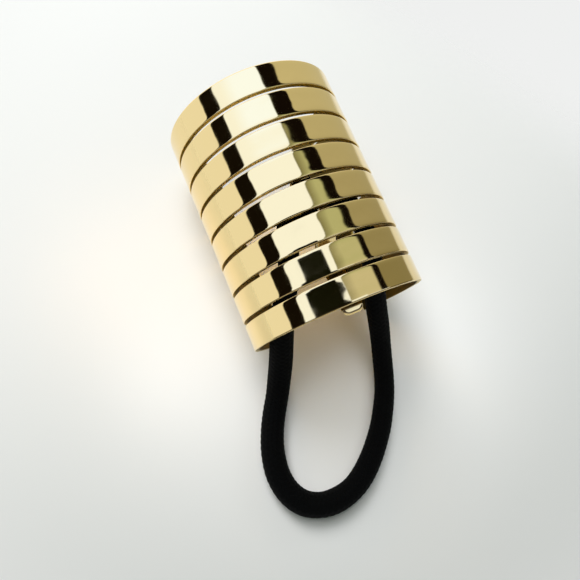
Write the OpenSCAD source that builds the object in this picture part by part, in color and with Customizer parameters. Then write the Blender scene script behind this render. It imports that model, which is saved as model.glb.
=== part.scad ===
// Ponytail cuff with an elastic loop, in millimetres.
// A slotted metal sleeve, open along its underside, stands on its two free edges. A metal strip
// is soldered under its crown: the strip makes a closed eye for the elastic, then runs on to the
// front end as an open hook. The elastic lies on the surface in front.
// +Z is up through the crown and +Y runs along the sleeve to its rear end. The origin is on the
// surface, under the middle of the metal.

/* [Sleeve] */
// Outer radius of the sleeve
cuff_r = 17; // [16.8:0.1:17.1]
// Thickness of the metal sheet
wall = 1; // [0.9:0.05:1.1]
// Angle left open along the underside
gap_angle = 70; // [68:1:72]
// Number of bands
bands = 8; // [6:1:9]
// Width of one band
band_w = 4.8; // [4.6:0.1:5]
// Width of the slit between two bands
slit_w = 0.75; // [0.6:0.05:0.9]
// Width of the uncut rail along each free edge
rail_w = 5; // [4:0.5:7]
// Step from a band's face down to a rail's
rail_step = 0.05; // [0.02:0.01:0.1]

/* [Hook strip] */
// Width of the strip
strip_w = 3.8; // [3:0.1:3.9]
// Thickness of the strip
strip_t = 0.9; // [0.7:0.05:0.95]
// Clear height of the eye that holds the elastic
eye_h = 4.65; // [4.6:0.05:5]
// Clear height between the crown and the hook
throat_h = 3.75; // [3:0.05:3.9]
// Rise of the hook's lip
lip_rise = 0.7; // [0.2:0.1:1]
// Reach of the hook in front of the sleeve
hook_out = 1.35; // [1:0.05:2]

/* [Elastic] */
// Sides of the elastic's round section
cord_sides = 10; // [8:1:12]

/* [Hidden] */

// Fineness of the sleeve's circles and of the small round edges.
large_fn = 180;
small_fn = 48;

cuff_l = bands * band_w + (bands - 1) * slit_w;
pitch = band_w + slit_w;
middle_y = (cuff_l - hook_out) / 2;
inner_r = cuff_r - wall;
// The sleeve's axis is as high as its rounded free edges let it stand.
axis_z = (cuff_r - wall / 2) * cos(gap_angle / 2) + wall / 2;
rail_angle = rail_w / cuff_r * 180 / PI;

// Heights of the strip's centreline over the sleeve's axis. The solder reaches into the sheet.
solder_in = 0.3;
solder_z = inner_r - strip_t / 2 + solder_in;
eye_z = inner_r - eye_h - strip_t / 2;
hook_z = inner_r - throat_h - strip_t / 2;
bend_r = 1;
tip_r = 1.2;
// Places along the sleeve, from its front end.
pad_rear_y = 26.2;
pad_front_y = 22.8;
eye_rear_y = 21.2;
eye_front_y = 16.2;
crest_rear_y = 14.9;
crest_front_y = 12.4;
hook_rear_y = 10.6;
lip_y = 0.4;
// The lip is drawn half as long again as it is, because the plan view cuts its end round.
lip_over = 1.5;

// The strip's centreline from its rear end to the lip, as [distance from the front end, height].
strip_line = [
    [pad_rear_y, solder_z],
    [pad_front_y, solder_z],
    [eye_rear_y, eye_z],
    [eye_front_y, eye_z],
    [crest_rear_y, solder_z],
    [crest_front_y, solder_z],
    [hook_rear_y, hook_z],
    [lip_y, hook_z],
    [lip_y - lip_over * (lip_y + hook_out), hook_z + lip_over * lip_rise]
];

// The elastic's closed route, as [x, distance from the front end, height over the surface,
// width of the elastic]. It starts in the eye, goes out by the left and comes back by the right.
X = 0;
Y = 1;
Z = 2;
WIDTH = 3;
route = [
    [0.4, 19.1, 27.5, 3.6],
    [-2.4, 18.7, 27.2, 3.6],
    [-4.6, 16.6, 26.2, 3.5],
    [-5.7, 13.0, 24.4, 3.5],
    [-7.2, 9.2, 21.6, 3.7],
    [-8.9, 5.8, 18.2, 4.1],
    [-10.3, 2.8, 14.4, 4.4],
    [-11.4, -0.2, 10.4, 4.6],
    [-12.5, -3.2, 6.8, 4.7],
    [-13.9, -6.2, 4.2, 4.7],
    [-15.6, -9.4, 2.8, 4.6],
    [-17.6, -12.6, 2.4, 4.6],
    [-19.4, -16.0, 2.4, 4.6],
    [-20.7, -19.6, 2.4, 4.7],
    [-21.3, -23.6, 2.4, 4.8],
    [-20.7, -27.4, 2.4, 4.8],
    [-18.8, -30.5, 2.4, 4.8],
    [-15.8, -32.3, 2.4, 4.7],
    [-12.4, -32.8, 2.4, 4.7],
    [-8.8, -32.2, 2.4, 4.5],
    [-5.6, -30.6, 2.4, 4.5],
    [-2.8, -28.4, 2.4, 4.4],
    [-0.4, -26.0, 2.4, 4.3],
    [1.8, -23.4, 2.4, 4.2],
    [3.8, -20.4, 2.4, 4.1],
    [5.5, -17.4, 2.4, 4.0],
    [6.8, -14.2, 2.6, 4.0],
    [7.7, -11.0, 3.4, 4.0],
    [8.3, -7.8, 5.2, 4.0],
    [8.6, -4.6, 7.8, 4.1],
    [8.6, -1.4, 11.0, 4.1],
    [8.7, 2.0, 14.4, 4.0],
    [8.9, 5.4, 18.0, 3.8],
    [8.9, 8.8, 21.4, 3.6],
    [8.5, 12.2, 23.8, 3.5],
    [7.4, 15.8, 25.6, 3.5],
    [5.6, 18.2, 26.7, 3.6],
    [3.2, 19.1, 27.3, 3.6]
];

function unit(v) = v / norm(v);

// The round bend of radius r that takes the corner b out of the line from a to c.
function bend(a, b, c, r, steps = 6) =
    let (u = unit(a - b), w = unit(c - b), half = acos(u * w) / 2,
         centre = b + unit(u + w) * r / sin(half),
         from = b + u * r / tan(half) - centre,
         to = b + w * r / tan(half) - centre)
    [for (i = [0:steps]) centre + r * unit(from * (steps - i) + to * i)];

// A line with all its corners bent.
function bent(line, r) =
    let (last = len(line) - 1)
    concat([line[0]],
           [for (i = [1:last - 1]) each bend(line[i - 1], line[i], line[i + 1], r)],
           [line[last]]);

// The line moved sideways by d.
function beside(line, d) =
    let (last = len(line) - 1)
    [for (i = [0:last])
        let (t = unit(line[min(i + 1, last)] - line[max(i - 1, 0)]))
        line[i] + d * [-t[1], t[0]]];

function reversed(list) = [for (i = [len(list) - 1:-1:0]) list[i]];

// A wedge of the sleeve's section that opens downwards.
module wedge(angle) {
    reach = 3 * cuff_r;
    polygon([[0, 0],
             [reach * sin(angle / 2), -reach * cos(angle / 2)],
             [-reach * sin(angle / 2), -reach * cos(angle / 2)]]);
}

// Runs a section drawn in X and Z along the sleeve, from one place to another.
module along(from, to) {
    translate([0, to, 0]) rotate([90, 0, 0]) linear_extrude(to - from) children();
}

// Part of the sleeve's section: a ring that is open along the underside. It starts in the gap,
// where its seam is cut away.
module open_ring(outer, inner) {
    difference() {
        rotate(-90) circle(r = outer, $fn = large_fn);
        rotate(-90) circle(r = inner, $fn = large_fn);
        wedge(gap_angle);
    }
}

// The rails on both sides of the gap, with their rounded free edges.
module rail_section() {
    intersection() {
        open_ring(cuff_r - rail_step, inner_r + rail_step);
        wedge(gap_angle + 2 * rail_angle);
    }
    for (side = [-1, 1])
        rotate(side * (180 - gap_angle / 2))
            translate([0, cuff_r - wall / 2]) circle(d = wall, $fn = small_fn);
}

// One sheet with slits: the bands run round it, and the rails join them along the gap.
module sleeve() {
    for (i = [0:bands - 1])
        along(i * pitch, i * pitch + band_w) open_ring(cuff_r, inner_r);
    along(0, cuff_l) rail_section();
}

// The strip seen from its side.
module strip_side() {
    line = bent(strip_line, bend_r);
    polygon(concat(beside(line, strip_t / 2), reversed(beside(line, -strip_t / 2))));
}

// The strip seen from above, with a round-cornered tip.
module strip_plan() {
    for (side = [-1, 1])
        translate([side * (strip_w / 2 - tip_r), tip_r - hook_out]) circle(r = tip_r, $fn = small_fn);
    translate([tip_r - strip_w / 2, -hook_out]) square([strip_w - 2 * tip_r, 2 * tip_r]);
    translate([-strip_w / 2, tip_r - hook_out]) square([strip_w, pad_rear_y + hook_out]);
}

module strip() {
    intersection() {
        translate([-strip_w, 0, 0]) rotate([90, 0, 90]) linear_extrude(2 * strip_w) strip_side();
        linear_extrude(2 * cuff_r) strip_plan();
    }
}

// Sleeve and strip are soldered, so they are one piece.
module cuff() {
    color("gold") translate([0, -middle_y, axis_z]) {
        sleeve();
        strip();
    }
}

// One ring of the elastic at a point of its route, square to the way it runs.
function ring(i) =
    let (n = len(route), p = route[i], before = route[(i + n - 1) % n], after = route[(i + 1) % n],
         t = unit([after[X] - before[X], after[Y] - before[Y], after[Z] - before[Z]]),
         side = unit(cross(t, [0, 0, 1])), up = cross(side, t))
    [for (k = [0:cord_sides - 1])
        let (a = 360 * k / cord_sides)
        [p[X], p[Y], p[Z]] + p[WIDTH] / 2 * (cos(a) * side + sin(a) * up)];

module elastic() {
    n = len(route);
    s = cord_sides;
    points = [for (i = [0:n - 1]) each ring(i)];
    faces = [for (i = [0:n - 1], k = [0:s - 1])
        let (j = (i + 1) % n, m = (k + 1) % s)
        each [[i * s + k, i * s + m, j * s + k], [j * s + k, i * s + m, j * s + m]]];
    color("black") translate([0, -middle_y, 0]) polyhedron(points, faces);
}

cuff();
elastic();
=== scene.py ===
# %% [markdown]
# A gilt ponytail cuff and its elastic
#
# This lesson dresses a small piece of hair jewellery. A thin metal sheet, slit into bands and bent
# round, covers the base of a ponytail. A loop of black elastic keeps it there, held by a strip that
# is soldered under the crown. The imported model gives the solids. Each of them is rebuilt here as a
# smooth mesh in the very same place, in metres, with +Z up and +Y along the sleeve to its rear end.

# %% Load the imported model
import math
import bpy
import numpy as np
from mathutils import Matrix, Vector


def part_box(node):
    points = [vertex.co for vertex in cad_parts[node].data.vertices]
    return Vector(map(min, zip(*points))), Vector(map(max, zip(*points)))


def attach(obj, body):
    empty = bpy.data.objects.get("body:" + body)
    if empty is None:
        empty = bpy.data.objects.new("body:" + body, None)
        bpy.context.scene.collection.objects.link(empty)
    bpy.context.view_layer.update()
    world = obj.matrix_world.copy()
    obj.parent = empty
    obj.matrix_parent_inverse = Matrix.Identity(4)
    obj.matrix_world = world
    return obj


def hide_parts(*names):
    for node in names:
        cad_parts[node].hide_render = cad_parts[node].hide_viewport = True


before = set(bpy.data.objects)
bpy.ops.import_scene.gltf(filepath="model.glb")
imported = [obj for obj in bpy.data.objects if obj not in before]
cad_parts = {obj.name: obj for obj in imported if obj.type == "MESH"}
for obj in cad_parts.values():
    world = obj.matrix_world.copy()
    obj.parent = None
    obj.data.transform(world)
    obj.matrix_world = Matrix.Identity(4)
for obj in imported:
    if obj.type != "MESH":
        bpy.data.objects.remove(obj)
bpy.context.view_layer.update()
MM = 0.001
print("pieces in the frame:", sorted(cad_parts))

# %% [markdown]
# The sizes that everything hangs on
#
# The box of the solid sleeve says how wide and high it is. The sleeve is a circle in section, so
# half its width is its radius, and its axis lies one radius under its crown. The widths of bands,
# slits and rails are repeated here, because a box doesn't show them.

# %% Sizes of the sleeve
low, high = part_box("cuff")
OUTER_R = (high.x - low.x) / 2
AXIS_Z = high.z - OUTER_R
WALL = 1.0 * MM
BANDS = 8
BAND = 4.8 * MM
SLIT = 0.75 * MM
PITCH = BAND + SLIT
LENGTH = BANDS * PITCH - SLIT
REAR_Y = high.y
FRONT_Y = REAR_Y - LENGTH
GAP_DEGREES = 70
RAIL = 5.0 * MM
EDGE_ANGLE = math.pi - math.radians(GAP_DEGREES / 2)
SLIT_ANGLE = EDGE_ANGLE - RAIL / OUTER_R
print(f"radius {OUTER_R / MM:.2f} mm, axis {AXIS_Z / MM:.2f} mm up, length {LENGTH / MM:.2f} mm")

# %% [markdown]
# The camera
#
# The camera stands close above the front left, as when a phone is held over a table. Close means
# strong perspective, so the lens is short. Its place and directions were found by fitting the
# sleeve's rims and slits. The three rows below are its right, down and forward directions.
# Blender's camera looks along its own -Z with +Y up, so two of them change sign.

# %% Camera
FRAME_PX = 580
FOCAL_PX = 488.8
SENSOR = 36.0
NEAREST = 1 * MM
FARTHEST = 10.0
CAMERA_RIGHT = (0.9166, -0.3887, 0.0934)
CAMERA_DOWN = (-0.3652, -0.9093, -0.1996)
CAMERA_AHEAD = (0.1625, 0.1489, -0.9754)
CAMERA_AT = (-21.55 * MM, -26.81 * MM, 104.81 * MM)

camera_data = bpy.data.cameras.new("camera")
camera_data.sensor_width = SENSOR
camera_data.lens = SENSOR * FOCAL_PX / FRAME_PX
camera_data.clip_start = NEAREST
camera_data.clip_end = FARTHEST
camera = bpy.data.objects.new("camera", camera_data)
turned = Matrix([CAMERA_RIGHT, [-v for v in CAMERA_DOWN], [-v for v in CAMERA_AHEAD]]).transposed()
camera.matrix_world = Matrix.Translation(CAMERA_AT) @ turned.to_4x4()
bpy.context.scene.collection.objects.link(camera)
bpy.context.scene.camera = camera
print(f"lens {camera_data.lens:.1f} mm")

# %% [markdown]
# The elastic
#
# The elastic is a rubber core in a braided sleeve: a limp round cord, joined to a ring. It leaves the
# eye to the left, comes down out of the front end, lies on the surface in one loose loop and climbs back
# in by the right. A curve object with a bevel could draw it, but its width changes a little where it is
# pulled over the strip, so a tube is swept through the route by hand. The points are those of the
# imported solid, chosen to follow what shows. Each row is x, distance from the sleeve's front end,
# height, and width.

# %% The elastic's route
ROUTE = [
    (0.0004, 0.0191, 0.0275, 0.0036),
    (-0.0024, 0.0187, 0.0272, 0.0036),
    (-0.0046, 0.0166, 0.0262, 0.0035),
    (-0.0057, 0.0130, 0.0244, 0.0035),
    (-0.0072, 0.0092, 0.0216, 0.0037),
    (-0.0089, 0.0058, 0.0182, 0.0041),
    (-0.0103, 0.0028, 0.0144, 0.0044),
    (-0.0114, -0.0002, 0.0104, 0.0046),
    (-0.0125, -0.0032, 0.0068, 0.0047),
    (-0.0139, -0.0062, 0.0042, 0.0047),
    (-0.0156, -0.0094, 0.0028, 0.0046),
    (-0.0176, -0.0126, 0.0024, 0.0046),
    (-0.0194, -0.0160, 0.0024, 0.0046),
    (-0.0207, -0.0196, 0.0024, 0.0047),
    (-0.0213, -0.0236, 0.0024, 0.0048),
    (-0.0207, -0.0274, 0.0024, 0.0048),
    (-0.0188, -0.0305, 0.0024, 0.0048),
    (-0.0158, -0.0323, 0.0024, 0.0047),
    (-0.0124, -0.0328, 0.0024, 0.0047),
    (-0.0088, -0.0322, 0.0024, 0.0045),
    (-0.0056, -0.0306, 0.0024, 0.0045),
    (-0.0028, -0.0284, 0.0024, 0.0044),
    (-0.0004, -0.0260, 0.0024, 0.0043),
    (0.0018, -0.0234, 0.0024, 0.0042),
    (0.0038, -0.0204, 0.0024, 0.0041),
    (0.0055, -0.0174, 0.0024, 0.0040),
    (0.0068, -0.0142, 0.0026, 0.0040),
    (0.0077, -0.0110, 0.0034, 0.0040),
    (0.0083, -0.0078, 0.0052, 0.0040),
    (0.0086, -0.0046, 0.0078, 0.0041),
    (0.0086, -0.0014, 0.0110, 0.0041),
    (0.0087, 0.0020, 0.0144, 0.0040),
    (0.0089, 0.0054, 0.0180, 0.0038),
    (0.0089, 0.0088, 0.0214, 0.0036),
    (0.0085, 0.0122, 0.0238, 0.0035),
    (0.0074, 0.0158, 0.0256, 0.0035),
    (0.0056, 0.0182, 0.0267, 0.0036),
    (0.0032, 0.0191, 0.0273, 0.0036),
]
route = np.array(ROUTE)
route[:, 1] += FRONT_Y
print(f"{len(route)} points, {route[:, 3].min() / MM:.1f} to {route[:, 3].max() / MM:.1f} mm thick")

# %% [markdown]
# The points are joined by a cubic curve that passes through every one of them, so the tube lies
# just where the solid one does. At each point it heads the way from the point before to the point
# after. It is first drawn finely and then cut into equal steps, because equal rings make an even
# braid.

# %% Smooth the route and cut it into equal steps
YARN_PITCH = 1.1 * MM
STEPS_PER_YARN = 5
RING_STEP = YARN_PITCH / STEPS_PER_YARN
FINE_STEPS = 24


def smooth_loop(points, steps):
    """Points on a closed cubic curve that passes through all the given ones."""
    before, here, after, beyond = (np.roll(points, shift, 0)[:, None] for shift in (1, 0, -1, -2))
    t = np.linspace(0, 1, steps, endpoint=False)[:, None]
    curve = here + t * (after - before) / 2
    curve = curve + t ** 2 * (2 * before - 5 * here + 4 * after - beyond) / 2
    curve = curve + t ** 3 * (3 * here - before - 3 * after + beyond) / 2
    return curve.reshape(-1, points.shape[1])


def even_loop(points, step):
    """The same closed line in equal steps, and its length."""
    closed = np.vstack([points, points[:1]])
    run = np.r_[0, np.cumsum(np.linalg.norm(np.diff(closed[:, :3], axis=0), axis=1))]
    at = np.linspace(0, run[-1], round(run[-1] / step), endpoint=False)
    return np.stack([np.interp(at, run, column) for column in closed.T], 1), run[-1]


line, elastic_length = even_loop(smooth_loop(route, FINE_STEPS), RING_STEP)
print(f"elastic {elastic_length / MM:.1f} mm round, {len(line)} rings")

# %% [markdown]
# Every piece in this lesson is made from a list of points and a list of faces between them. Two
# small helpers serve them all: one measures directions, and one makes the mesh and its object.

# %% Helpers for meshes


def unit(v):
    """Vectors of length 1 with the same directions."""
    return v / np.linalg.norm(v, axis=-1, keepdims=True)


def new_piece(name, vertices, faces):
    """A smooth-shaded mesh object."""
    mesh = bpy.data.meshes.new(name)
    mesh.from_pydata(np.asarray(vertices).tolist(), [], faces)
    mesh.validate()
    mesh.shade_smooth()
    piece = bpy.data.objects.new(name, mesh)
    bpy.context.scene.collection.objects.link(piece)
    return piece


start_way = unit(line[1, :3] - line[0, :3])
print("the elastic sets out towards", start_way.round(2))

# %% [markdown]
# The braid is sixteen yarns, half of them winding one way and half the other. A bump in the
# material would show them only in the light, and the outline would stay smooth. So the surface
# itself rises over each yarn: of two waves that slant both ways round the cord, the higher one
# wins. The rings stand square to the route, with their first direction level.

# %% Sweep a braided tube
ELASTIC_WIDTH = 4.4 * MM
YARNS = 16
YARN_RELIEF = 0.07 * MM
RING_SIDES = YARNS * STEPS_PER_YARN


def braided_tube(name, centres, widths, run):
    """A closed tube with a braid's relief, and with its coordinates in millimetres in a UV map."""
    ahead = unit(np.roll(centres, -1, 0) - np.roll(centres, 1, 0))
    side = unit(np.cross(ahead, (0, 0, 1)))
    up = np.cross(side, ahead)
    rings = len(centres)
    angle = np.linspace(0, 2 * math.pi, RING_SIDES, endpoint=False)[None, :]
    turns = 2 * math.pi * round(run / YARN_PITCH) * np.arange(rings)[:, None] / rings
    one_way, other_way = YARNS * angle / 2 + turns, YARNS * angle / 2 - turns
    relief = YARN_RELIEF * np.maximum(np.cos(one_way), np.cos(other_way))
    spoke = np.cos(angle)[..., None] * side[:, None] + np.sin(angle)[..., None] * up[:, None]
    ring = centres[:, None] + (widths[:, None] / 2 + relief)[..., None] * spoke
    index = np.arange(rings * RING_SIDES).reshape(rings, RING_SIDES)
    ahead_index = np.roll(index, -1, 0)
    faces = np.stack([index, np.roll(index, -1, 1), np.roll(ahead_index, -1, 1), ahead_index], -1)
    piece = new_piece(name, ring.reshape(-1, 3), faces.reshape(-1, 4).tolist())
    girth = math.pi * ELASTIC_WIDTH / MM / RING_SIDES
    pace = run / rings / MM
    u0, v0 = np.meshgrid(np.arange(RING_SIDES) * girth, np.arange(rings) * pace)
    corners = [(u0, v0), (u0 + girth, v0), (u0 + girth, v0 + pace), (u0, v0 + pace)]
    uv = np.stack([np.stack(corner, -1) for corner in corners], 2)
    piece.data.uv_layers.new(name="braid").data.foreach_set("uv", uv.ravel())
    return piece


elastic = braided_tube("elastic_loop", line[:, :3], line[:, 3], elastic_length)
print(f"elastic {len(elastic.data.polygons)} faces")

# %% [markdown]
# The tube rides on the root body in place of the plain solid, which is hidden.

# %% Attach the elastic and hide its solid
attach(elastic, "root")
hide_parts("elastic")
print("the elastic starts at", (line[0, :3] / MM).round(1), "mm")

# %% [markdown]
# The sleeve
#
# The real sleeve is blanked from 1 mm brass sheet with seven slits, bent to an open ring, and then
# tumbled and plated, which leaves every edge round. Bevels on a boolean would give that with
# trouble at each slit's end. Here the sheet is a grid of points instead, unrolled as it was when
# flat: angle one way, length the other. Each point knows how far it is from the nearest cut edge,
# and the face drops away there along a quarter circle. A wider, much slighter roll-off round that
# is what tumbling leaves. It draws the fine bright and dark lines beside each slit.

# %% How an edge drops away
CORNER_R = 0.09 * MM
ROLL_WIDTH = 0.5 * MM
ROLL_DROP = 0.03 * MM
EDGE_SHARES = (0, 0.015, 0.05, 0.1, 0.18, 0.35, 0.6, 1.0)


def dropped(distance, r, roll):
    """How far a face has dropped near an edge: a round corner of radius r, and a roll-off."""
    left = np.clip(r - distance, 0, r)
    return r - np.sqrt(r * r - left * left) + roll * np.clip(1 - distance / ROLL_WIDTH, 0, 1) ** 2


near_edge = np.array(EDGE_SHARES) * ROLL_WIDTH
print("an edge drops", (dropped(near_edge, CORNER_R, ROLL_DROP) / MM).round(2), "mm")

# %% [markdown]
# A corner this small needs lines a few hundredths of a millimetre apart, and the open face doesn't.
# So the grid lines crowd at the edges and spread out between them, where they only have to follow
# the curve of the sleeve.

# %% Lay out the flat sheet
GRID = 0.6 * MM
SAME_LINE = 1e-9


def lines(stops, step, edge):
    """Grid lines between the stops, close together within an edge's width of each."""
    out = [stops[0]]
    for start, end in zip(stops, stops[1:]):
        near = min(edge, (end - start) / 2)
        steps = max(1, round((end - start - 2 * near) / step))
        shares = np.array(EDGE_SHARES[1:-1]) * near
        out += list(start + shares)
        out += list(np.linspace(start + near, end - near, steps + 1))
        out += list(end - shares[::-1]) + [end]
    out = np.array(out)
    return out[np.r_[True, np.diff(out) > SAME_LINE]]


band_stops = [stop for i in range(BANDS) for stop in (i * PITCH, i * PITCH + BAND)]
arc_end, slit_end = EDGE_ANGLE * OUTER_R, SLIT_ANGLE * OUTER_R
length_lines = lines(band_stops, GRID, ROLL_WIDTH)
arc_lines = lines([-arc_end, -slit_end, slit_end, arc_end], GRID, ROLL_WIDTH)
arc, along = np.meshgrid(arc_lines, length_lines, indexing="ij")
print(f"{len(arc_lines)} lines along the sleeve and {len(length_lines)} round it")

# %% [markdown]
# Each point of the grid now measures how far it is from the nearest cut, which is an end, a free
# edge or a slit. Past the end of a slit, the distance is taken straight to it, so the rounded edge
# runs on round the slit's end.

# %% Measure from each point to the nearest cut
edge_distance = np.minimum(np.minimum(along, LENGTH - along), arc_end - np.abs(arc))
past_slit = np.maximum(np.abs(arc) - slit_end, 0)
for i in range(1, BANDS):
    beside_slit = np.maximum(np.maximum(i * PITCH - SLIT - along, along - i * PITCH), 0)
    edge_distance = np.minimum(edge_distance, np.hypot(past_slit, beside_slit))
print(f"the farthest point is {edge_distance.max() / MM:.1f} mm from a cut")

# %% [markdown]
# Punching and plating also leave each band a very little hollow across its width, by about a
# third of the thickness of a sheet of paper. Nobody sees that in the shape, but a mirror doubles
# every tilt: it is what makes a dark reflection jump a little sideways from one band to the next.
# The hollow runs out where the bands meet the rails.

# %% Hollow the bands
DISH = 0.03 * MM
DISH_RUNS_OUT = 3 * MM

across = (along % PITCH) / BAND * 2 - 1
runs_out = np.clip((slit_end - np.abs(arc)) / DISH_RUNS_OUT, 0, 1)
hollow = DISH * np.clip(1 - across ** 2, 0, 1) * runs_out
print(f"the bands are up to {hollow.max() / MM:.2f} mm hollow")

# %% [markdown]
# The slits are punched by leaving cells of the grid out. A cell belongs to the metal if it lies in
# a rail or in a band.

# %% Tell metal from slits
cell_arc = (arc_lines[1:] + arc_lines[:-1]) / 2
cell_along = (length_lines[1:] + length_lines[:-1]) / 2
in_band = (cell_along % PITCH) < BAND
in_rail = np.abs(cell_arc) > slit_end
metal = in_rail[:, None] | in_band[None, :]
print(f"{metal.sum()} of {metal.size} cells are metal")

# %% [markdown]
# The sheet becomes a solid piece when its upper and lower faces are joined by walls along every
# cut. A wall stands wherever a metal cell has none beside it. A solidify modifier could thicken
# one face, but both faces here have edges of their own.

# %% Make the sleeve


def closed_sheet(name, top, bottom, cells):
    """A closed mesh: the grid's top and bottom faces in the given cells, and walls round them."""
    rows, columns = top.shape[:2]
    count = rows * columns
    index = np.arange(count).reshape(rows, columns)
    # The four corners of each cell, in order round it.
    a, b, c, d = index[:-1, :-1], index[1:, :-1], index[1:, 1:], index[:-1, 1:]
    faces = [np.stack([a, b, c, d], -1)[cells], np.stack([a, d, c, b], -1)[cells] + count]
    padded = np.pad(cells, 1)
    for start, end, other in ((a, b, padded[1:-1, :-2]), (b, c, padded[2:, 1:-1]),
                              (c, d, padded[1:-1, 2:]), (d, a, padded[:-2, 1:-1])):
        rim = cells & ~other
        faces.append(np.stack([start, start + count, end + count, end], -1)[rim])
    used, flat = np.unique(np.concatenate(faces), return_inverse=True)
    points = np.concatenate([top.reshape(-1, 3), bottom.reshape(-1, 3)])[used]
    return new_piece(name, points, flat.reshape(-1, 4).tolist())


def on_sleeve(radius):
    """The grid's points bent round the axis, each at its own radius."""
    angle = arc / OUTER_R
    return np.stack([radius * np.sin(angle), FRONT_Y + along, AXIS_Z + radius * np.cos(angle)], -1)


outer_face = on_sleeve(OUTER_R - dropped(edge_distance, CORNER_R, ROLL_DROP) - hollow)
inner_face = on_sleeve(OUTER_R - WALL + dropped(edge_distance, CORNER_R, 0))
sleeve = closed_sheet("slotted_sleeve", outer_face, inner_face, metal)
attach(sleeve, "root")
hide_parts("cuff")
print(f"sleeve {len(sleeve.data.polygons)} faces")

# %% [markdown]
# The hook strip
#
# A narrow strip of the same metal is bent in a bending brake and soldered under the crown in two
# places. Between them it hangs down as an eye that the elastic passes through, and in front it
# runs on level as an open hook. The line below is the strip seen from its side, from the rear end
# to the tip. Its corners are turned into the round bends that a brake makes.

# %% The strip's centreline
STRIP_W = 3.8 * MM
STRIP_T = 0.9 * MM
BEND_R = 1.0 * MM
BEND_STEPS = 12
HOOK_OUT = FRONT_Y - low.y
CROWN = OUTER_R - WALL
SOLDER_IN = 0.3 * MM
EYE_H = 4.65 * MM
THROAT_H = 3.75 * MM
LIP_RISE = 0.35 * MM
SOLDER_Z = CROWN - STRIP_T / 2 + SOLDER_IN
EYE_Z = CROWN - EYE_H - STRIP_T / 2
HOOK_Z = CROWN - THROAT_H - STRIP_T / 2
# Each row is a distance from the sleeve's front end, and a height over its axis.
STRIP_LINE = [
    (26.2 * MM, SOLDER_Z),
    (22.8 * MM, SOLDER_Z),
    (21.2 * MM, EYE_Z),
    (16.2 * MM, EYE_Z),
    (14.9 * MM, SOLDER_Z),
    (12.4 * MM, SOLDER_Z),
    (10.6 * MM, HOOK_Z),
    (1.6 * MM, HOOK_Z),
    (0.5 * MM, HOOK_Z + LIP_RISE),
    (-HOOK_OUT, HOOK_Z + LIP_RISE),
]


def bend(a, b, c, r, steps):
    """The round bend of radius r that takes the corner b out of the line from a to c."""
    a, b, c = (np.array(point) for point in (a, b, c))
    back, on = unit(a - b), unit(c - b)
    half = math.acos(float(back @ on)) / 2
    centre = b + unit(back + on) * r / math.sin(half)
    start = b + back * r / math.tan(half) - centre
    end = b + on * r / math.tan(half) - centre
    share = np.linspace(0, 1, steps + 1)[:, None]
    return centre + r * unit(start * (1 - share) + end * share)


corners = zip(STRIP_LINE, STRIP_LINE[1:], STRIP_LINE[2:])
bends = [bend(a, b, c, BEND_R, BEND_STEPS) for a, b, c in corners]
bent = np.concatenate([STRIP_LINE[:1], *bends, STRIP_LINE[-1:]])
strip_run = np.r_[0, np.cumsum(np.linalg.norm(np.diff(bent, axis=0), axis=1))]
print(f"strip {strip_run[-1] / MM:.1f} mm long before bending")

# %% [markdown]
# The same sheet grid makes the strip: length along its bent centreline one way and width the
# other, with the tip's corners rounded in plan. Its edges are rounder than the sleeve's, as on
# wire that was rolled flat, so a line of light runs round the hook.

# %% Make the strip
TIP_R = 1.2 * MM
STRIP_EDGE = 0.4 * MM
STRIP_GRID = 0.25 * MM
WIDTH_GRID = 0.12

tip_start = strip_run[-1] - TIP_R
run_lines = lines([0, tip_start, strip_run[-1]], STRIP_GRID, STRIP_EDGE)
width_lines = lines([-1, 1], WIDTH_GRID, 2 * STRIP_EDGE / STRIP_W)
run, share = np.meshgrid(run_lines, width_lines, indexing="ij")
in_tip = np.clip(run - tip_start, 0, TIP_R)
cross = share * (STRIP_W / 2 - TIP_R + np.sqrt(TIP_R ** 2 - in_tip ** 2))
to_corner = TIP_R - np.hypot(in_tip, np.maximum(np.abs(cross) - STRIP_W / 2 + TIP_R, 0))
strip_distance = np.minimum(np.minimum(STRIP_W / 2 - np.abs(cross), to_corner), run)
centre = np.stack([np.interp(run, strip_run, bent[:, k]) for k in (0, 1)], -1)
ahead = unit(np.gradient(centre, axis=0))
normal = np.stack([-ahead[..., 1], ahead[..., 0]], -1)


def on_strip(offset):
    """The grid's points, each moved off the bent centreline by its own offset."""
    place = centre + normal * offset[..., None]
    return np.stack([cross, FRONT_Y + place[..., 0], AXIS_Z + place[..., 1]], -1)


half_strip = STRIP_T / 2 - dropped(strip_distance, STRIP_EDGE, 0)
all_cells = np.ones((len(run_lines) - 1, len(width_lines) - 1), bool)
strip = closed_sheet("hook_strip", on_strip(-half_strip), on_strip(half_strip), all_cells)
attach(strip, "root")
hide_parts("cuff")
print(f"strip {len(strip.data.polygons)} faces")

# %% [markdown]
# Tools for finishes
#
# Colours are written as sRGB hex, as a paint chart gives them, and turned to the linear values
# that Blender reckons in. A light can be brighter than any paint, so a light's colour may also be
# multiplied. One small function adds a node, sets it and links it.

# %% Colour and node helpers
# A Mix node has one set of sockets for numbers and one for colours, known by their places.
NUMBER_A, NUMBER_B, NUMBER = 2, 3, 0
COLOUR_A, COLOUR_B, COLOUR = 6, 7, 2


def linear(hex_colour, times=1.0):
    """A hex colour in linear light, by the sRGB standard's formula, taken so many times."""
    parts = [int(hex_colour[i:i + 2], 16) / 255 for i in (1, 3, 5)]
    parts = [c / 12.92 if c <= 0.04045 else ((c + 0.055) / 1.055) ** 2.4 for c in parts]
    return [c * times for c in parts] + [1.0]


def set_sockets(tree, node, sockets):
    """Fills a node's sockets with values or with links."""
    for key, value in sockets.items():
        if isinstance(value, bpy.types.NodeSocket):
            tree.links.new(value, node.inputs[key])
        else:
            node.inputs[key].default_value = value


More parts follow.
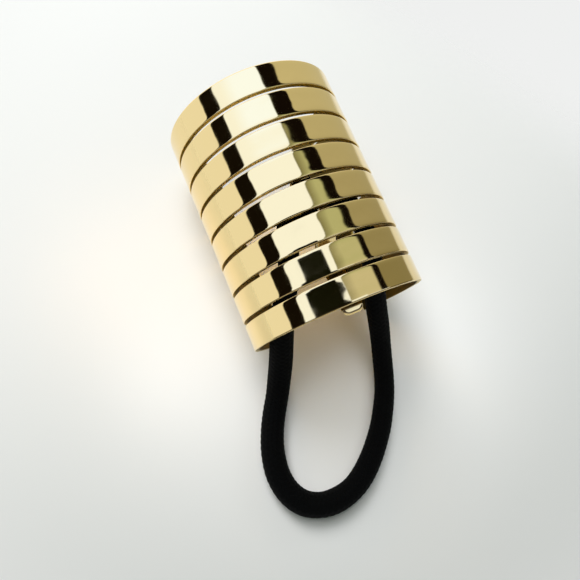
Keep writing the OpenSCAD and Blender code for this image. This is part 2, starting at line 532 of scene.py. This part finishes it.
def add(tree, kind, sockets=None, **settings):
    """Adds a node with its settings and fills its sockets."""
    node = tree.nodes.new(kind)
    for key, value in settings.items():
        setattr(node, key, value)
    set_sockets(tree, node, sockets or {})
    return node


def toned(tree, value, start, end, first, last):
    """The first colour where a value is at the start, which turns to the last one at the end."""
    share = add(tree, "ShaderNodeMapRange", {"Value": value, "From Min": start, "From Max": end})
    mix = add(tree, "ShaderNodeMix", {"Factor": share.outputs[0], COLOUR_A: first, COLOUR_B: last},
              data_type="RGBA")
    return mix.outputs[COLOUR]


def new_material(name):
    """A material with its node tree and its surface shader."""
    material = bpy.data.materials.new(name)
    material.use_nodes = True
    return material, material.node_tree, material.node_tree.nodes["Principled BSDF"]


PALE_GOLD = "#F4DBA0"
print("pale gold in linear light:", [round(v, 3) for v in linear(PALE_GOLD)])

# %% [markdown]
# Gold plate
#
# The finish is a flash of pale gold over brass, and gold is a metal: it has almost no colour of
# its own but tints what it reflects. So the base colour is that tint, and the metal keeps its own
# index of refraction. Polishing leaves a slight swell, a few millimetres from crest to crest, that
# makes straight reflections wander. Handling adds a faint film that blurs them unevenly. Both are
# noise at a real size, so they need no picture.

# %% A recipe for gold plate
FULLY_METALLIC = 1.0
SWELL = 3.0 * MM
SWELL_DETAIL = 1.0
SWELL_DEPTH = 0.03 * MM
SWELL_STRENGTH = 0.7
FILM = 6.0 * MM
FILM_DETAIL = 4.0
FILM_THIN, FILM_THICK = 0.35, 0.7


def gold_plate(name, clear, hazy):
    """Gold with a swell, and a film that takes its roughness from clear to hazy."""
    material, tree, shader = new_material(name)
    place = add(tree, "ShaderNodeTexCoord").outputs["Object"]
    swell = add(tree, "ShaderNodeTexNoise",
                {"Vector": place, "Scale": 1 / SWELL, "Detail": SWELL_DETAIL}).outputs[0]
    relief = add(tree, "ShaderNodeBump",
                 {"Height": swell, "Strength": SWELL_STRENGTH, "Distance": SWELL_DEPTH}).outputs[0]
    film = add(tree, "ShaderNodeTexNoise",
               {"Vector": place, "Scale": 1 / FILM, "Detail": FILM_DETAIL}).outputs[0]
    haze = add(tree, "ShaderNodeMapRange", {"Value": film, "From Min": FILM_THIN, "From Max": FILM_THICK,
                                            "To Min": clear, "To Max": hazy}).outputs[0]
    set_sockets(tree, shader, {"Base Color": linear(PALE_GOLD), "Metallic": FULLY_METALLIC,
                               "Roughness": haze, "Normal": relief})
    return material, tree, shader, place, haze


# The hook was plated but hardly polished, which gives it soft reflections without a hard edge.
SATIN = (0.09, 0.15)
satin = gold_plate("pale_gold_plate_satin", *SATIN)[0]
strip.data.materials.append(satin)
print(satin.name, "on", strip.name)

# %% [markdown]
# The sleeve's face is polished to a mirror, but a buffing wheel can't reach everywhere, so the walls of
# the slits and the inside stay dull. The walls of the slits are painted a deeper, darker yellow, partly
# for their duller plating and partly as painted shade in the slits. The inside is painted darker still,
# as painted shade for the dim inside of the sleeve. Three materials on three sets of faces could show
# that. One material does it here by distance from the sleeve's axis, because then no seam has to be kept
# between the faces.

# %% Polished gold, with dull cuts and painted shade inside
POLISHED = (0.035, 0.075)
# The cut walls' colour is partly their duller plating and partly painted shade; the inside colour is
# painted shade.
CUT_GOLD_AND_SHADE = "#C4AA50"
INSIDE_PAINTED_SHADE = "#74602E"
UNPOLISHED = 0.38
CUT_STARTS, CUT_FULL = OUTER_R - 0.1 * MM, OUTER_R - 0.2 * MM
INSIDE_STARTS, INSIDE_FULL = OUTER_R - 0.8 * MM, OUTER_R - 0.95 * MM

polished, tree, shader, place, haze = gold_plate("pale_gold_plate_polished", *POLISHED)
flat = add(tree, "ShaderNodeMapping",
           {"Vector": place, "Location": (0, 0, -AXIS_Z), "Scale": (1, 0, 1)}).outputs[0]
from_axis = add(tree, "ShaderNodeVectorMath", {0: flat}, operation="LENGTH").outputs["Value"]
# Painted shade: the colour turns darker towards the inside of the sheet.
cut_and_inside_shade = toned(tree, from_axis, INSIDE_STARTS, INSIDE_FULL, linear(CUT_GOLD_AND_SHADE), linear(INSIDE_PAINTED_SHADE))
tone = toned(tree, from_axis, CUT_STARTS, CUT_FULL, linear(PALE_GOLD), cut_and_inside_shade)
cut = add(tree, "ShaderNodeMapRange", {"Value": from_axis, "From Min": CUT_STARTS, "From Max": CUT_FULL})
rough = add(tree, "ShaderNodeMix", {"Factor": cut.outputs[0], NUMBER_A: haze, NUMBER_B: UNPOLISHED},
            data_type="FLOAT")
set_sockets(tree, shader, {"Base Color": tone, "Roughness": rough.outputs[NUMBER]})
sleeve.data.materials.append(polished)
print(polished.name, "on", sleeve.name)

# %% [markdown]
# Black braid
#
# The elastic's cover is braided polyester yarn, dyed black. Matt yarn drinks light: what is seen is
# a soft edge of sheen and the shadow between the yarns. Each yarn is a bundle of filaments that
# slants with it, so two sets of fine waves cross in the material, and a finer noise is the fuzz on
# them. The index of refraction is what polyester fibre has across its length, about 1.53. The
# specular level is cut down, because the hollows between the fibres swallow most of the gloss.

# %% Black braid material
# Real filaments are about 0.02 mm thick, too fine to show here, so their waves are drawn coarser.
FILAMENT_MM = 0.3
FUZZ_PER_MM = 14.0
FUZZ_DETAIL = 3.0
FUZZ_SHARE = 0.25
# Blender's wave texture repeats after this length at a scale of 1.
WAVE_LENGTH = 0.314
BRAID_SLANT = math.radians(38)
WEAVE_DEPTH = 0.05 * MM
WEAVE_STRENGTH = 0.6
# The colour between the yarns is painted shade in the hollows of the braid.
SHADE_BETWEEN_YARNS = "#030303"
YARN_BLACK = "#0A0B0A"

braid, tree, shader = new_material("black_polyester_braid")
uv = add(tree, "ShaderNodeUVMap", uv_map="braid").outputs[0]
waves = []
for slant in (BRAID_SLANT, -BRAID_SLANT):
    slanted = add(tree, "ShaderNodeMapping", {"Vector": uv, "Rotation": (0, 0, slant)}).outputs[0]
    wave = add(tree, "ShaderNodeTexWave", {"Vector": slanted, "Scale": WAVE_LENGTH / FILAMENT_MM},
               wave_type="BANDS", bands_direction="X", wave_profile="SIN")
    waves.append(wave.outputs[1])
weave = add(tree, "ShaderNodeMath", {0: waves[0], 1: waves[1]}, operation="MULTIPLY").outputs[0]
fuzz = add(tree, "ShaderNodeTexNoise",
           {"Vector": uv, "Scale": FUZZ_PER_MM, "Detail": FUZZ_DETAIL}).outputs[0]
height = add(tree, "ShaderNodeMath", {0: fuzz, 1: FUZZ_SHARE, 2: weave},
             operation="MULTIPLY_ADD").outputs[0]
relief = add(tree, "ShaderNodeBump",
             {"Height": height, "Strength": WEAVE_STRENGTH, "Distance": WEAVE_DEPTH}).outputs[0]
# The base colour is painted darker in the hollows between the yarns: painted shade.
shade = add(tree, "ShaderNodeMix", {"Factor": weave, COLOUR_A: linear(SHADE_BETWEEN_YARNS),
                                    COLOUR_B: linear(YARN_BLACK)}, data_type="RGBA").outputs[COLOUR]
set_sockets(tree, shader, {
    "Base Color": shade,
    "Normal": relief,
    "Roughness": 0.85,
    "IOR": 1.53,
    "Specular IOR Level": 0.08,
    "Sheen Weight": 0.008,
    "Sheen Roughness": 0.5,
})
elastic.data.materials.append(braid)
print(braid.name, "on", elastic.name)

# %% [markdown]
# The floor
#
# The floor is a sheet of white card, and its fine tooth gives it an even, matt white. A plane is
# enough for it, but polished gold shows all of it, also what the camera doesn't see. So the card
# fades out by place, softly all round and sooner on the right: beyond that the mirror shows the
# painted room. Where the camera looks through the faded card, it sees a backdrop in the card's own
# tone, so the fade is hidden.

# %% Floor
CARD_WHITE = "#F3F3F3"
CARD_HALF = 0.25
TOOTH = 0.4 * MM
TOOTH_DETAIL = 3.0
TOOTH_DEPTH = 0.02 * MM
TOOTH_STRENGTH = 0.15
TO_RIGHT = (0.832, 0.555, 0)
RIGHT_FADE = (50 * MM, 76 * MM)
ROUND_FADE = (68 * MM, 150 * MM)

floor_mesh = bpy.data.meshes.new("floor")
corners = [(x * CARD_HALF, y * CARD_HALF, 0) for x, y in ((-1, -1), (1, -1), (1, 1), (-1, 1))]
floor_mesh.from_pydata(corners, [], [(0, 1, 2, 3)])
floor = bpy.data.objects.new("floor", floor_mesh)
bpy.context.scene.collection.objects.link(floor)

card, tree, shader = new_material("white_card")
place = add(tree, "ShaderNodeTexCoord").outputs["Object"]
fibres = add(tree, "ShaderNodeTexNoise",
             {"Vector": place, "Scale": 1 / TOOTH, "Detail": TOOTH_DETAIL}).outputs[0]
relief = add(tree, "ShaderNodeBump",
             {"Height": fibres, "Strength": TOOTH_STRENGTH, "Distance": TOOTH_DEPTH}).outputs[0]
to_right = add(tree, "ShaderNodeVectorMath", {0: place, 1: TO_RIGHT}, operation="DOT_PRODUCT")
from_middle = add(tree, "ShaderNodeVectorMath", {0: place}, operation="LENGTH")
fades = []
for distance, (start, end) in ((to_right, RIGHT_FADE), (from_middle, ROUND_FADE)):
    fade = add(tree, "ShaderNodeMapRange",
               {"Value": distance.outputs["Value"], "From Min": start, "From Max": end})
    fades.append(fade.outputs[0])
gone = add(tree, "ShaderNodeMath", {0: fades[0], 1: fades[1]}, operation="MAXIMUM").outputs[0]
seen = add(tree, "ShaderNodeMapRange", {"Value": gone, "To Min": 1.0, "To Max": 0.0},
           interpolation_type="SMOOTHSTEP").outputs[0]
set_sockets(tree, shader, {
    "Base Color": linear(CARD_WHITE),
    "Normal": relief,
    "Alpha": seen,
    "Roughness": 0.9,
    "Specular IOR Level": 0.1,
})
floor.data.materials.append(card)
print(f"card fades from {ROUND_FADE[0] / MM:.0f} to {ROUND_FADE[1] / MM:.0f} mm out")

# %% [markdown]
# What the mirror sees
#
# A mirror shows the room, so most of a gold piece's look is the room. In a studio, white panels and
# black boards are hung round a shiny piece until each band reads well. Glowing planes could do the
# same here. The room is painted on the world instead, by direction, because then each edge of a
# reflection is one number. On a world, Generated coordinates are a ray's direction. Two values say
# where a mirrored ray goes: its turn round the sleeve's axis, in degrees from straight up with the
# left as minus, and its lean, from -1 at the front to 1 at the rear.

# %% Directions round the sleeve
world = bpy.data.worlds.new("studio")
bpy.context.scene.world = world
world.use_nodes = True
tree = world.node_tree
way = add(tree, "ShaderNodeTexCoord").outputs["Generated"]
ray = add(tree, "ShaderNodeSeparateXYZ", {0: way}).outputs
lean = ray["Y"]
radians = add(tree, "ShaderNodeMath", {0: ray["X"], 1: ray["Z"]}, operation="ARCTAN2").outputs[0]
turn = add(tree, "ShaderNodeMath", {0: radians}, operation="DEGREES").outputs[0]
print("the world has", len(tree.nodes), "nodes")

# %% [markdown]
# Seen round the axis, the room is a row of strips: a white wall on the left, a dark gap, a long
# white panel overhead, a dim stretch, another dark gap and a wall on the right. The strips aren't
# quite parallel to the sleeve, so the turn of each edge changes with the lean, in a straight line
# between two leans and not beyond them.

# %% Edges of the strips
# Each row is an edge's turn at no lean, its change per lean, and the least and greatest lean.
EDGES = {
    "left gap starts": (-72.5, 18.0, 0.1, 0.4),
    "left gap ends": (-53.8, 25.0, 0.1, 0.4),
    "panel ends": (3.2, 36.7, 0.16, 0.44),
    "right gap starts": (65.0, -98.0, 0.155, 0.465),
    "right gap ends": (63.5, -43.0, 0.1, 0.54),
    "flag starts": (-59.3, 178.0, 0.12, 0.16),
    "flag ends": (46.0, -390.0, 0.095, 0.115),
}

edges = {}
for name, (level, per_lean, least, most) in EDGES.items():
    kept = add(tree, "ShaderNodeClamp", {0: lean, 1: least, 2: most}).outputs[0]
    slanted = add(tree, "ShaderNodeMath", {0: kept, 1: per_lean, 2: level}, operation="MULTIPLY_ADD")
    edges[name] = slanted.outputs[0]
    print(f"{name}: {level + per_lean * least:.0f} to {level + per_lean * most:.0f} degrees")

# %% [markdown]
# Every strip has soft edges, because a polished face is never quite a perfect mirror. A strip is
# painted where all its limits are passed. A limit is a value, an edge and a softness, and a minus
# before the softness means that the strip lies on the near side of the edge.

# %% Soft masks


def where(tree, *limits):
    """A mask that is 1 past all the limits and 0 before any of them."""
    mask = 1.0
    for value, edge, soft in limits:
        gap = add(tree, "ShaderNodeMath", {0: value, 1: edge}, operation="SUBTRACT").outputs[0]
        step = add(tree, "ShaderNodeMapRange", {"Value": gap, "From Min": -soft, "From Max": soft},
                   interpolation_type="SMOOTHSTEP").outputs[0]
        mask = add(tree, "ShaderNodeMath", {0: mask, 1: step}, operation="MULTIPLY").outputs[0]
    return mask


brightest = where(tree, (lean, 0.43, 0.06), (turn, -25.0, 12.0))
print("the world has", len(tree.nodes), "nodes")

# %% [markdown]
# The dim stretch beside the panel is olive next to it and paler farther off, which gives each band
# its soft roll of tone on the right. The right wall is lighter to the rear. The panel is bluer
# than white, because the gold takes blue away and the bands have to stay cream. It is brightest at
# the rear, from a little left of the crown on.

# %% Tones that change across a strip
OLIVE_WIDTH = 13.0
LEANS_TO_FRONT = (0.2, 0.08)
LEANS_TO_REAR = (0.1, 0.52)

olive = toned(tree, lean, *LEANS_TO_FRONT, linear("#82856B"), linear("#ADAFA2"))
pale_olive = toned(tree, lean, *LEANS_TO_FRONT, linear("#BBC6AA"), linear("#D4D5C9"))
from_panel = add(tree, "ShaderNodeMath", {0: turn, 1: edges["panel ends"]}, operation="SUBTRACT")
dim_stretch = toned(tree, from_panel.outputs[0], 0.0, OLIVE_WIDTH, olive, pale_olive)
right_wall = toned(tree, lean, *LEANS_TO_REAR, linear("#8C886C"), linear("#CECDB7"))
panel = add(tree, "ShaderNodeMix", {"Factor": brightest, COLOUR_A: linear("#CCDBFF", 1.753),
                                    COLOUR_B: linear("#BACEFF", 2.2)}, data_type="RGBA").outputs[COLOUR]
print("the world has", len(tree.nodes), "nodes")

# %% [markdown]
# The two front bands show one more thing, a black board in front of the sleeve, with rounded upper
# corners. Studios call it a flag. Its top is level in the middle and drops by a power of the
# distance across it, which rounds only the corners.

# %% The flag's top
FLAG_TOP = 0.207
FLAG_CORNER_DROP = 0.02
FLAG_CORNER_POWER = 5.0

across_flag = add(tree, "ShaderNodeMapRange",
                  {"Value": turn, "From Min": edges["flag starts"], "From Max": edges["flag ends"],
                   "To Min": -1.0, "To Max": 1.0}).outputs[0]
off_middle = add(tree, "ShaderNodeMath", {0: across_flag}, operation="ABSOLUTE").outputs[0]
corner = add(tree, "ShaderNodeMath", {0: off_middle, 1: FLAG_CORNER_POWER}, operation="POWER").outputs[0]
flag_top = add(tree, "ShaderNodeMath", {0: corner, 1: -FLAG_CORNER_DROP, 2: FLAG_TOP},
               operation="MULTIPLY_ADD").outputs[0]
print(f"the flag's top is at a lean of {FLAG_TOP - FLAG_CORNER_DROP:.3f} to {FLAG_TOP:.3f}")

# %% [markdown]
# Now the room is painted like a stage set, from the back to the front: what a later row covers
# doesn't show. Low in front there are two bright spots beside the flag, and beyond the ends of the
# sleeve the room is plain.

# %% Paint the room
SOFT = 1.0
FRONT_SOFT = 1.5
FLAG_SOFT = 1.2
# The rows are painted one over another. Each is a strip's colour and its limits.
ROOM = {
    "right gap": (linear("#120D0A"), (turn, edges["right gap starts"], 2 * SOFT)),
    "right wall": (right_wall, (turn, edges["right gap ends"], SOFT)),
    "panel": (panel, (turn, edges["left gap ends"], SOFT), (turn, edges["panel ends"], -SOFT)),
    "front end": (linear("#D5E3FF", 1.5), (turn, 8.0, FRONT_SOFT), (turn, 30.0, -FRONT_SOFT),
                  (lean, 0.082, -0.01)),
    "front rim": (linear("#D7E4FF", 1.25), (turn, 30.0, FRONT_SOFT), (turn, 62.0, -FRONT_SOFT),
                  (lean, 0.03, -0.015)),
    "flag": (linear("#12140A"), (turn, edges["flag starts"], FLAG_SOFT),
             (turn, edges["flag ends"], -FLAG_SOFT), (lean, flag_top, -0.008)),
    "left gap": (linear("#14100A"), (turn, edges["left gap starts"], SOFT),
                 (turn, edges["left gap ends"], -SOFT)),
    "left wall": (linear("#F6F9F9"), (turn, edges["left gap starts"], -SOFT)),
    "rear": (linear("#FFFFFF", 1.2), (lean, 0.66, 0.06)),
    "dark front": (linear("#3F3530"), (lean, -0.02, -0.06)),
    "pale far front": (linear("#CED0CB"), (lean, -0.45, -0.12)),
}

room = dim_stretch
for name, (colour, *limits) in ROOM.items():
    room = add(tree, "ShaderNodeMix", {"Factor": where(tree, *limits), COLOUR_A: room, COLOUR_B: colour},
               data_type="RGBA").outputs[COLOUR]
print(len(ROOM), "strips of room:", ", ".join(ROOM))

# %% [markdown]
# A room that flatters the mirror is no good as a lamp: its panel would wash the shadows out. So
# the world looks at what kind of ray asks. Mirrored rays see the room, rays that gather light see
# a dim dome that is brighter to the rear, and the camera sees a plain pale backdrop. Blender
# usually maps a world's bright parts, to send light rays there. Those parts are here for mirrored
# rays alone, so that is turned off.

# %% World
DOME_LEANS = (-0.5, 0.5)
BACKDROP = "#EFF0EF"

dome = toned(tree, lean, *DOME_LEANS, linear("#273029"), linear("#7E897D"))
kind_of_ray = add(tree, "ShaderNodeLightPath").outputs
light = dome
for asks, shown in (("Is Glossy Ray", room), ("Is Camera Ray", linear(BACKDROP))):
    light = add(tree, "ShaderNodeMix", {"Factor": kind_of_ray[asks], COLOUR_A: light, COLOUR_B: shown},
                data_type="RGBA").outputs[COLOUR]
set_sockets(tree, tree.nodes["Background"], {"Color": light})
world.cycles.sampling_method = "NONE"
print("the world has", len(tree.nodes), "nodes")

# %% [markdown]
# Lamps
#
# Two soft lamps behind the piece, a high one and a low one, throw its shadow towards the viewer.
# The rest are small. Real gold casts a warm light on the card beside it and out of the sleeve's
# mouth. A renderer finds that light only by chance, as grain, so a weak lamp near each such place,
# called a glow, stands in for it. The fills lift the shade on both sides. None of the lamps shows
# in the mirror, because the painted room has lights of its own.

# %% Lamps
# Each row is a lamp's place, the spot it faces and its width, all in millimetres, then its power
# in watts and its tint.
WHITE = "#FFFFFF"
LAMPS = {
    "key": ((-20, 120, 300), (0, 0, 0), 240, 0.49, WHITE),
    "low_key": ((-20, 220, 260), (0, 0, 0), 160, 0.54, WHITE),
    "right_fill": ((90, 0, 70), (30, 0, 0), 50, 0.007, WHITE),
    "right_glow": ((18, -31, 26), (16, -31, 0), 20, 0.0018, WHITE),
    "left_fill": ((-85, 10, 60), (-85, 10, 0), 50, 0.005, "#FFF9F1"),
    "left_glow": ((-40, 6, 26), (-24, 4, 0), 20, 0.0013, "#FFD4A2"),
    "front_left_glow": ((-34, -19, 22), (-20, -18, 0), 20, 0.0012, "#FFF7EF"),
    "mouth_glow": ((0, 4, 22), (-2, -34, 0), 16, 0.0036, "#FFCB69"),
    "loop_glow": ((-4, -37, 30), (-5, -37, 0), 30, 0.0005, WHITE),
}

for name, (place, aim, width, power, tint) in LAMPS.items():
    lamp_data = bpy.data.lights.new(name, "AREA")
    lamp_data.shape = "DISK"
    lamp_data.size = width * MM
    lamp_data.energy = power
    lamp_data.color = linear(tint)[:3]
    lamp = bpy.data.objects.new(name, lamp_data)
    bpy.context.scene.collection.objects.link(lamp)
    lamp.location = Vector(place) * MM
    lamp.rotation_mode = "QUATERNION"
    lamp.rotation_quaternion = (Vector(aim) - Vector(place)).to_track_quat("-Z", "Y")
    lamp.visible_glossy = False
    print(f"{name}: {width} mm wide, {power} W")

# %% [markdown]
# Tones on the screen
#
# Blender's usual view softens bright tones, as film does. Plain white card has to stay plain white
# here, and the hex colours have to come out as written, so the standard view is the right one.

# %% View
bpy.context.scene.view_settings.view_transform = "Standard"
print("view:", bpy.context.scene.view_settings.view_transform)
